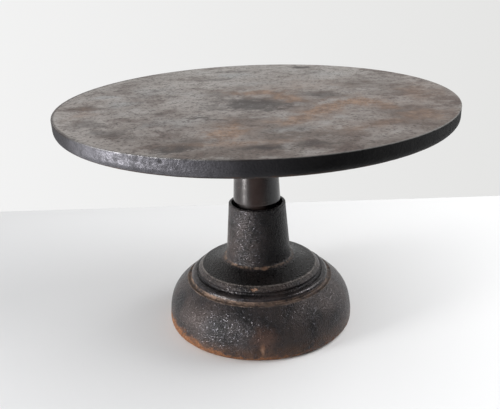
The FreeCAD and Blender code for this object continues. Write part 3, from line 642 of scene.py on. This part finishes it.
def plate_finish():
    """Bare, stained iron on the face, blacking on the rim with a handled part, and rough casting underneath."""
    bare_brown, bare_grey = (0.108, 0.086, 0.074), (0.30, 0.275, 0.256)
    painted_sheen_grey, patch_grey = (0.33, 0.315, 0.295), (0.28, 0.268, 0.256)
    deep_brown, pale_mark, dark_mark = (0.078, 0.054, 0.046), (0.27, 0.28, 0.28), (0.028, 0.022, 0.021)
    dark_speck, pale_fleck, rust_halo = (0.040, 0.031, 0.028), (0.34, 0.33, 0.32), (0.185, 0.138, 0.112)
    dark_dust, pale_dust = (0.12, 0.072, 0.050), (0.28, 0.180, 0.118)
    blacking, thin_blacking, rubbed_coat = (0.003, 0.003, 0.0033), (0.008, 0.0078, 0.008), (0.045, 0.043, 0.049)
    handled_iron, chip_shade = (0.145, 0.141, 0.156), (0.012, 0.011, 0.012)
    under_dark, under_brown = (0.028, 0.024, 0.023), (0.065, 0.046, 0.037)
    lip_shade, bare_edge = (0.022, 0.017, 0.016), (0.24, 0.232, 0.224)
    material, place = new_finish("worn plate iron")
    at = parts(place)
    radius = from_axis(at)
    grain = use(GRAIN, place, Grains=430.0)
    fine, breakup = noise(place, 380.0, 4.0, 0.75), noise(place, 120.0, 6.0, 0.72)
    cloud, patch = noise(place, 11.0, 6.0, 0.62, 0.3), noise(place, 30.0, 6.0, 0.66, 0.2)
    tear = torn(place, 55.0, 2.6)
    top = times(rise(at["Z"], PLATE_TOP_Z - 0.5, PLATE_TOP_Z - 0.25), rise(radius, PLATE_R, PLATE_R - 0.6))
    outer = rise(radius, PLATE_R - 3.3, PLATE_R - 1.3)
    side = times(outer, rest_of(top))

    # The face: bare iron gone grey and brown, with speckles, rings, runs and spills, and a painted sheen that lightens
    # it towards the back.
    pale_side = rise(calc("SUBTRACT", at["X"], at["Y"]), 160.0, -100.0)
    face = lay(scaled(pale_side, 0.42, times(ramp(cloud, 0.38, 0.62), 0.5)), bare_brown, bare_grey)
    # Painted sheen: the face turns a lighter grey towards the back.
    face = lay(rise(at["Y"], -20.0, 150.0), face, painted_sheen_grey, 0.45)
    face = lay(ramp(patch, 0.52, 0.64), face, patch_grey, 0.5)
    face = lay(times(ramp(patch, 0.49, 0.38), scaled(pale_side, -0.3, 0.75)), face, deep_brown)
    for spots, colour in ((PALE_SPOTS, pale_mark), (DARK_SPOTS, dark_mark)):
        for *form, share in spots:
            face = lay(face_blot(place, tear, *form), face, colour, share)
    face = lay(times(ramp(fine, 0.51, 0.43), ramp(breakup, 0.60, 0.44)), face, dark_speck, 0.8)
    face = lay(times(ramp(fine, 0.58, 0.66), ramp(breakup, 0.46, 0.62)), face, pale_fleck, 0.5)
    dry = halo = 0.0
    for x, y, long, wide, turn, inner, share in RUST_SPOTS:
        dry = most(dry, times(face_blot(place, tear, x, y, long, wide, turn, inner), share))
        halo = most(halo, times(face_blot(place, tear, x, y, 1.5 * long, 2.0 * wide, turn, 0.0), share))
    face = lay(halo, face, rust_halo, 0.75)
    rusty = use(RUST, place, Blooms=90.0, Share=0.5)["Height"]
    rust_share = calc("MULTIPLY", dry, ramp(rusty, 0.30, 0.62), clamp=True)
    face = lay(rust_share, face, lay(ramp(breakup, 0.40, 0.62), dark_dust, pale_dust))

    # The rim: blacked and pitted, with hands' wear showing bare metal over part of it.
    heading = calc("ARCTAN2", at["Y"], at["X"])
    towards = calc("COSINE", calc("SUBTRACT", heading, math.radians(WORN_RIM_ANGLE)))
    handled = times(ramp(towards, 0.885, 0.975), scaled(ramp(breakup, 0.34, 0.6), 0.65, 0.35))
    coat = lay(ramp(patch, 0.35, 0.65), blacking, thin_blacking)
    coat = lay(ramp(towards, 0.70, 0.95), coat, rubbed_coat, 0.5)
    coat = lay(handled, coat, handled_iron, 0.8)
    chip_low = (RIM_CHIP[0], RIM_CHIP[1], RIM_CHIP[2] - 0.2)
    coat = lay(blot(place, torn(place, 500.0, 0.8), chip_low, (2.4, 2.4, 1.9), inner=0.6), coat, chip_shade, 0.8)

    # The underside: rough casting, browned by damp.
    under = lay(ramp(cloud, 0.38, 0.62), under_dark, under_brown)
    damp = use(RUST, place, Blooms=55.0, Share=0.34)
    under = lay(damp["Mask"], under, damp["Color"], 0.5)

    # The lip between face and rim has painted shade on its left, and is bare where it is handled and on the right.
    colour = lay(side, lay(top, under, face), coat)
    lip = times(outer, rise(at["Z"], PLATE_TOP_Z - 1.7, PLATE_TOP_Z - 0.8))
    # Painted shade: the lip darkens towards the left, except where it is handled.
    painted_lip_shade = times(lip, rise(at["X"], 30.0, -30.0), ramp(breakup, 0.3, 0.5), rest_of(handled))
    colour = lay(painted_lip_shade, colour, lip_shade, 0.75)
    worn = use(WEAR, place, Proud=proud_of(place), Low=0.04, High=0.16, Broken=0.34)[0]
    edge = times(lip, worn, most(rise(at["X"], 0.0, 60.0), handled))
    bare = times(side, handled)
    rough_top = scaled(rust_share, 0.2, scaled(patch, -0.3, 0.66))
    smoothed = scaled(bare, -0.45, scaled(top, -0.8, 1.0))
    close_finish(scaled(grain["Height"], smoothed, times(fine, 0.3)), 0.4 * MM, Specular_IOR_Level=0.16,
                 Base_Color=lay(edge, colour, bare_edge, 0.6), Metallic=times(most(bare, edge), 0.8),
                 Roughness=lay(side, lay(top, (0.75, 0.75, 0.75), rough_top), scaled(handled, -0.24, 0.68)))
    return material


disc = [(0.0, PLATE_TOP_Z, 0.8)]
straight(disc, 3.0, 0.8, (150.0, PLATE_TOP_Z))
ease(disc, (PLATE_R, PLATE_TOP_Z), RIM_LOW, 0.6, 1.2, 0.5)
ease(disc, RIM_LOW, (0.0, RIM_LOW[1]), RIM_ROUND, 1.0)
straight(disc, 1.5, 0.0, (RIM_INNER_R, RIM_LOW[1]))
ease(disc, (RIM_INNER_R, WEB_LOW_Z), (BOSS_R, WEB_LOW_Z), FILLET, 2.0)
ease(disc, (BOSS_R, WEB_LOW_Z), (BOSS_R, BOSS_Z), FILLET, 3.5)
straight(disc, 2.0, 0.4, (BOSS_R, BOSS_Z))
straight(disc, 4.0, 1.0, (SPIGOT_R, BOSS_Z), (SPIGOT_R, SPIGOT_TOP_Z))
straight(disc, 6.0, 1.0, (0.0, SPIGOT_TOP_Z))

plate = cast("plate_casting", disc, **{
    "Segments": 560, "Swell Depth": 0.1 * MM, "Lump Depth": 0.25 * MM, "Pit Depth": 0.4 * MM, "Pit Share": 0.25,
    "Chip Place": metres(RIM_CHIP), "Chip Size": 2.0 * MM, "Chip Depth": 0.7 * MM, "Seed": 3.1,
    "Web": slab_object("rib", RIB, RIB_THICK), "Web Count": 6, "Hole": rod_object(
        "screw_hole", (SCREW_PITCH_R, 0, BOSS_Z - 1), (SCREW_PITCH_R, 0, SPIGOT_TOP_Z), TAPPED_R, TAPPED_R),
    "Hole Count": 4, "Hole Angle": math.radians(45), "Finish": plate_finish()})
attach(plate, "turntable")
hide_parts("top_plate")

# ------------------------------------------------------------
# Stem: a tapered grey-iron sleeve with a flange, screwed up to the plate's boss and pinned to the
# spindle. Its outside was turned, so it is smoother than the foot, and hands have kept it polished.

STEM_LOW = (22.1, 122.8)
STEM_HIGH = (18.6, 195.5)
FLANGE_R = 42.0
NECK_R = 18.43
NECK_Z = 110.65
TAPER_PIN_Z = 169.5
FLANGE_ROUND = 9.0
CLEAR_R = 4.2
PIN_HOLE_R = (2.81, 3.25)


def tool_marks():
    """Effect: the fine rings that a lathe tool leaves round the axis."""
    tree, given = effect("tool marks", {"Marks": 2600.0}, Height="Float")
    squeezed = vector_calc("MULTIPLY", given["Place"], (0.02, 0.02, 1.0))
    add(tree, "NodeGroupOutput", {"Height": noise(squeezed, given["Marks"], 3.0, 0.6)})
    return tree


MARKS = tool_marks()


def stem_finish():
    """Iron blackened by hands: brown down the middle, with painted shade on the right, and bare on its edges."""
    dark, pale, browned = (0.022, 0.019, 0.019), (0.050, 0.044, 0.043), (0.040, 0.023, 0.019)
    painted_right_shade, bare_edge = (0.005, 0.005, 0.0055), (0.16, 0.15, 0.145)
    material, place = new_finish("handled stem iron")
    x = parts(place)["X"]
    patch = noise(place, 40.0, 5.0, 0.6, 0.4)
    iron = lay(ramp(patch, 0.35, 0.65), dark, pale)
    iron = lay(band(x, -2.0, 8.0, 8.0), iron, browned, 0.6)
    # Painted shade: the stem's right side is darkened.
    iron = lay(rise(x, 3.0, 13.0), iron, painted_right_shade, 0.9)
    iron = lay(use(WEAR, place, Proud=proud_of(place), High=0.30, Broken=0.47)[0], iron, bare_edge, 0.6)
    bloom = use(RUST, place, Blooms=120.0, Share=0.12)
    grain, rings = use(GRAIN, place, Grains=500.0)["Height"], use(MARKS, place)["Height"]
    close_finish(scaled(grain, 0.35, times(rings, 0.3)), 0.25 * MM,
                 Base_Color=lay(bloom["Mask"], iron, bloom["Color"], 0.6), Metallic=times(rest_of(bloom["Mask"]), 0.3),
                 Roughness=scaled(bloom["Mask"], 0.3, scaled(patch, 0.14, 0.11)))
    return material


sleeve = [(SPIGOT_R, NECK_Z, 1.0)]
straight(sleeve, 3.0, 1.0, (NECK_R, NECK_Z), (NECK_R, STEM_LOW[1]))
ease(sleeve, STEM_LOW, STEM_HIGH, 0.5, 1.0, 0.6)
ease(sleeve, STEM_HIGH, (FLANGE_R, STEM_HIGH[1]), FLANGE_ROUND, 1.0, 0.6)
straight(sleeve, 1.2, 0.3, (FLANGE_R, STEM_HIGH[1]), (FLANGE_R, BOSS_Z))
straight(sleeve, 3.0, 1.0, (SPIGOT_R, BOSS_Z), (SPIGOT_R, NECK_Z))

stem = cast("stem_casting", sleeve, **{
    "Segments": 320, "Swell Depth": 0.1 * MM, "Lump Depth": 0.15 * MM, "Pit Depth": 0.3 * MM, "Pit Share": 0.1,
    "Seed": 7.7, "Hole Count": 4, "Hole Angle": math.radians(45), "Hole": rod_object(
        "screw_hole", (SCREW_PITCH_R, 0, STEM_HIGH[1] - 1), (SCREW_PITCH_R, 0, BOSS_Z + 1), CLEAR_R, CLEAR_R),
    "Bore": rod_object("pin_hole", (-22.1, 0, TAPER_PIN_Z), (22.1, 0, TAPER_PIN_Z), *PIN_HOLE_R),
    "Finish": stem_finish()})
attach(stem, "turntable")
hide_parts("stem")

# ------------------------------------------------------------
# Bushes: two turned bronze bushes pressed into the pedestal's bore from either end; the lower one has a
# flange for the keeper washer to turn against. Bored and reamed, browned by old oil.


def oil_film():
    """Effect: an uneven film of old oil, and the grime caught in it."""
    tree, given = effect("oil film", {"Patches": 70.0}, Mask="Float", Grime="Float")
    mask = ramp(noise(given["Place"], given["Patches"], 6.0, 0.66, 0.4), 0.40, 0.62)
    grime = noise(given["Place"], times(given["Patches"], 3.7), 5.0, 0.7)
    add(tree, "NodeGroupOutput", {"Mask": mask, "Grime": grime})
    return tree


FILM = oil_film()


def metal_finish(name, bright, dull, rough, rust=0.0, turned=0.5):
    """Worked metal: tool marks round the axis, a film of old oil, and a share of rust where there is any."""
    dirt = (0.03, 0.024, 0.02)
    material, place = new_finish(name)
    film = use(FILM, place)
    rings = use(MARKS, place, Marks=3200.0)[0]
    colour = lay(film["Mask"], bright, dull)
    colour = lay(ramp(film["Grime"], 0.54, 0.68), colour, dirt, 0.5)
    gloss = scaled(film["Mask"], 0.16, rough)
    metal = 1.0
    if rust:
        bloom = use(RUST, place, Blooms=160.0, Share=rust)
        colour = lay(bloom["Mask"], colour, bloom["Color"], 0.85)
        gloss = scaled(bloom["Mask"], 0.35, gloss)
        metal = rest_of(bloom["Mask"])
    height = scaled(rings, turned, times(film["Grime"], 0.25))
    close_finish(height, 0.12 * MM, Base_Color=colour, Roughness=gloss, Metallic=metal)
    return material


def dress(start, finish):
    """Gives a finish to the pieces whose names start so."""
    for name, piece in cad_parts.items():
        if name.startswith(start):
            piece.data.materials.clear()
            piece.data.materials.append(finish)


bronze = metal_finish("oiled bronze", (0.46, 0.27, 0.11), (0.16, 0.095, 0.045), 0.32)
dress("upper_bush", bronze)
dress("lower_bush", bronze)

# ------------------------------------------------------------
# Ball thrust bearing: two hardened and ground steel races, a pressed brass cage and twelve balls. It
# sits in the top of the column and carries the stem; grease keeps it bright.

race_steel = metal_finish("ground race steel", (0.50, 0.49, 0.48), (0.30, 0.28, 0.26), 0.22)
ball_steel = metal_finish("polished ball steel", (0.62, 0.61, 0.60), (0.50, 0.49, 0.47), 0.08, turned=0.0)
brass = metal_finish("tarnished brass", (0.60, 0.42, 0.16), (0.28, 0.19, 0.08), 0.30, turned=0.1)
dress("lower_race", race_steel)
dress("upper_race", race_steel)
dress("ball_cage", brass)
dress("race_ball", ball_steel)

# ------------------------------------------------------------
# Spindle: a turned mild-steel bar that holds the stem upright in both bushes. Its lower end is cut with
# a screw thread for the castle nut, and it is drilled across for the taper pin and the split pin.

TIP_Z = 6.5
THREAD_TOP_Z = 23.6
THREAD_R = 7.9
THREAD_PITCH = 2.0
THREAD_DEPTH = 1.05
TIP_BEVEL = 1.5
JOURNAL_R = 11.1
RELIEF_LOW_Z = 50.6
RELIEF_TOP_Z = 70.9
RELIEF_DEPTH = 0.6
BAR_TOP_Z = 212.0
BAR_SIDES = 96
THREAD_STEP = 0.2
THREAD_ROOT, THREAD_FLANK = 0.05, 0.45
SHOULDER_STEP = 1e-4
PIN_DRILL_R = (2.83, 3.27)
SPLIT_DRILL_R = 1.55
SPLIT_PIN_Z = 12.4


def bar_radius(z, angle):
    """Radius of the bar in millimetres, with the thread's helix below the shoulder."""
    if z > THREAD_TOP_Z:
        eased = min(z - RELIEF_LOW_Z, RELIEF_TOP_Z - z, RELIEF_DEPTH)
        return min(JOURNAL_R - max(eased, 0.0), JOURNAL_R - TIP_BEVEL + BAR_TOP_Z - z)
    from_root = abs((z / THREAD_PITCH - angle / math.tau) % 1.0 - 0.5)
    groove = THREAD_DEPTH * min(1.0, max(0.0, (THREAD_FLANK - from_root) / (THREAD_FLANK - THREAD_ROOT)))
    return min(THREAD_R - groove, THREAD_R - TIP_BEVEL + z - TIP_Z)


def bar_rings():
    """Rings of points up the spindle's bar, close together over its thread."""
    levels = [TIP_Z + THREAD_STEP * i for i in range(int((THREAD_TOP_Z - TIP_Z) / THREAD_STEP) + 1)]
    levels += [THREAD_TOP_Z + SHOULDER_STEP, RELIEF_LOW_Z, RELIEF_LOW_Z + RELIEF_DEPTH, RELIEF_TOP_Z - RELIEF_DEPTH,
               RELIEF_TOP_Z, BAR_TOP_Z - TIP_BEVEL, BAR_TOP_Z]
    turns = [math.tau * i / BAR_SIDES for i in range(BAR_SIDES)]
    return [[(bar_radius(z, a) * math.cos(a), bar_radius(z, a) * math.sin(a), z) for a in turns] for z in levels]


def drilled(piece, drills):
    """Cuts rods out of a piece, and leaves it a plain mesh."""
    for drill in drills:
        cut = piece.modifiers.new(drill.name, "BOOLEAN")
        cut.operation, cut.solver, cut.object = "DIFFERENCE", "MANIFOLD", drill
    solid = bpy.data.meshes.new_from_object(piece.evaluated_get(bpy.context.evaluated_depsgraph_get()))
    piece.modifiers.clear()
    piece.data = solid
    for drill in drills:
        bpy.data.objects.remove(drill)
    return piece


bar_steel = metal_finish("turned bar steel", (0.36, 0.35, 0.34), (0.19, 0.17, 0.155), 0.30, rust=0.30)
bar = drilled(solid_object("spindle_bar", bar_rings()), [
    rod_object("taper_drill", (-22.0, 0, TAPER_PIN_Z), (22.0, 0, TAPER_PIN_Z), *PIN_DRILL_R),
    rod_object("split_drill", (-12.0, 0, SPLIT_PIN_Z), (12.0, 0, SPLIT_PIN_Z), SPLIT_DRILL_R, SPLIT_DRILL_R)])
bar.data.materials.append(bar_steel)
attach(bar, "turntable")
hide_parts("spindle")

# ------------------------------------------------------------
# Keeper washer, castle nut and split pin: a punched washer and a blackened hexagon nut on the spindle's
# lower end, locked by a split pin through the nut's crown. Out of sight, and rusty from damp.

washer_steel = metal_finish("punched washer steel", (0.30, 0.29, 0.28), (0.13, 0.115, 0.10), 0.36, rust=0.42)
nut_steel = metal_finish("blackened nut steel", (0.13, 0.125, 0.12), (0.055, 0.050, 0.047), 0.34, rust=0.38,
                         turned=0.1)
wire_steel = metal_finish("soft wire steel", (0.40, 0.39, 0.38), (0.22, 0.20, 0.185), 0.32, rust=0.34, turned=0.0)
dress("keeper_washer", washer_steel)
dress("castle_nut", nut_steel)
dress("split_pin", wire_steel)

# ------------------------------------------------------------
# Flange screws and taper pin: four blackened screws hold the stem's flange to the plate's boss, and a
# driven taper pin makes stem and spindle turn as one.

screw_steel = metal_finish("blackened screw steel", (0.15, 0.145, 0.14), (0.065, 0.058, 0.054), 0.36, rust=0.40,
                           turned=0.1)
pin_steel = metal_finish("ground pin steel", (0.42, 0.41, 0.40), (0.24, 0.22, 0.20), 0.28, rust=0.22, turned=0.2)
dress("flange_screw", screw_steel)
dress("stem_taper_pin", pin_steel)

# ------------------------------------------------------------
# Studio: a pale counter against a pale wall, in a room lit from the right and from above, with the
# counter's front edge near the stand and a dark room before it, and one window's light from the left.

WALL_Y = 0.31
WALL_LEFT_X, WALL_RIGHT_X = -1.6, 0.55
WALL_HEIGHT = 1.2
WALL_SPILL = 0.55
COUNTER_FRONT_Y = -0.36
COUNTER_END_X = 3.0
UNDER_FOOT_R = 0.078
EYE_PLACE = (0.0, -0.64088, 0.36101)
EYE_TURN = (69.160, 2.4488, 1.3282)
EYE_LENS = 52.42
EYE_SHIFT = (0.0396, 0.001)


def one_sided(name, make_skin, open_r=0.0):
    """A studio surface that is clear from its back, and inside a radius, so that every side of the stand shows."""
    material, place = new_finish(name)
    tree = material.node_tree
    back = add(tree, "ShaderNodeNewGeometry").outputs["Backfacing"]
    let_through = most(back, calc("LESS_THAN", vector_calc("LENGTH", place), open_r))
    clear = add(tree, "ShaderNodeBsdfTransparent").outputs[0]
    mix = add(tree, "ShaderNodeMixShader", {0: let_through, 1: make_skin(tree), 2: clear})
    add(tree, "ShaderNodeOutputMaterial", {"Surface": mix.outputs[0]})
    return material


def counter_skin(tree):
    """The counter's pale, flat paint."""
    return add(tree, "ShaderNodeBsdfPrincipled", {"Base Color": (0.8, 0.8, 0.8, 1), "Roughness": 0.8}).outputs[0]


def wall_glow(tree):
    """The wall as seen: a plain glow, a little brighter on the window's side."""
    x = parts(add(tree, "ShaderNodeNewGeometry").outputs["Position"])["X"]
    tone = lay(ramp(x, -0.7, 0.6), (0.92, 0.92, 0.92), (0.77, 0.77, 0.76))
    ray = add(tree, "ShaderNodeLightPath").outputs
    strength = scaled(most(ray["Is Camera Ray"], ray["Is Glossy Ray"]), 1.0 - WALL_SPILL, WALL_SPILL)
    return add(tree, "ShaderNodeEmission", {"Color": tone, "Strength": strength}).outputs[0]


def sheet_object(name, corners, material):
    """A flat studio surface, which isn't part of the stand."""
    made = mesh_object(name, corners, [], [(0, 1, 2, 3)])
    made.data.materials.append(material)
    return made


def lamp(name, place, aim, width, height, power, spread=180.0):
    """A rectangular lamp, in metres, watts and degrees."""
    light = bpy.data.lights.new(name, "AREA")
    light.shape = "RECTANGLE"
    light.size, light.size_y, light.energy = width, height, power
    light.spread = math.radians(spread)
    made = new_object(name, light)
    made.location = place
    made.rotation_euler = (Vector(aim) - Vector(place)).to_track_quat("-Z", "Y").to_euler()


def room_light():
    """The room: bright above and behind, dark before the counter, and pale straight below, for the foot's hollow."""
    high, level, dark = (0.98, 0.99, 1.01), (0.46, 0.46, 0.47), (0.02, 0.02, 0.022)
    below, as_seen = (0.9, 0.9, 0.9), (0.85, 0.85, 0.85)
    world = bpy.data.worlds.new("room")
    world.use_nodes = True
    tree = world.node_tree
    tree.nodes.clear()
    way = parts(add(tree, "ShaderNodeTexCoord").outputs["Generated"])
    ahead = scaled(way["X"], 0.5, times(way["Y"], -0.8))
    tone = lay(ramp(way["Z"], -0.1, 0.5), level, high)
    tone = lay(ramp(calc("SUBTRACT", ahead, way["Z"]), -0.25, 0.35), tone, dark)
    tone = lay(ramp(way["Z"], -0.80, -0.96), tone, below)
    tone = lay(add(tree, "ShaderNodeLightPath").outputs["Is Camera Ray"], tone, as_seen)
    back = add(tree, "ShaderNodeBackground", {"Color": tone, "Strength": 1.0})
    add(tree, "ShaderNodeOutputWorld", {"Surface": back.outputs[0]})
    return world


sheet_object("floor", [(-COUNTER_END_X, COUNTER_FRONT_Y, 0), (COUNTER_END_X, COUNTER_FRONT_Y, 0),
                       (COUNTER_END_X, WALL_Y, 0), (-COUNTER_END_X, WALL_Y, 0)],
             one_sided("counter paint", counter_skin, UNDER_FOOT_R))
wall = sheet_object("wall", [(WALL_LEFT_X, WALL_Y, 0), (WALL_RIGHT_X, WALL_Y, 0), (WALL_RIGHT_X, WALL_Y, WALL_HEIGHT),
                             (WALL_LEFT_X, WALL_Y, WALL_HEIGHT)], one_sided("wall paint", wall_glow))
wall.visible_shadow = False
lamp("right sky", place=(1.15, 0.24, 1.10), aim=(0, 0, 0.05), width=1.0, height=1.0, power=18)
lamp("left window", place=(-0.75, -0.42, 0.17), aim=(0, 0, 0.13), width=0.30, height=0.30, power=1.2, spread=55.0)
bpy.context.scene.world = room_light()

eye = bpy.data.cameras.new("eye")
eye.lens = EYE_LENS
eye.sensor_width = 36.0
eye.shift_x, eye.shift_y = EYE_SHIFT
camera = new_object("eye", eye)
camera.location = EYE_PLACE
camera.rotation_euler = [math.radians(turn) for turn in EYE_TURN]
bpy.context.scene.camera = camera

bpy.context.scene.view_settings.view_transform = "Standard"
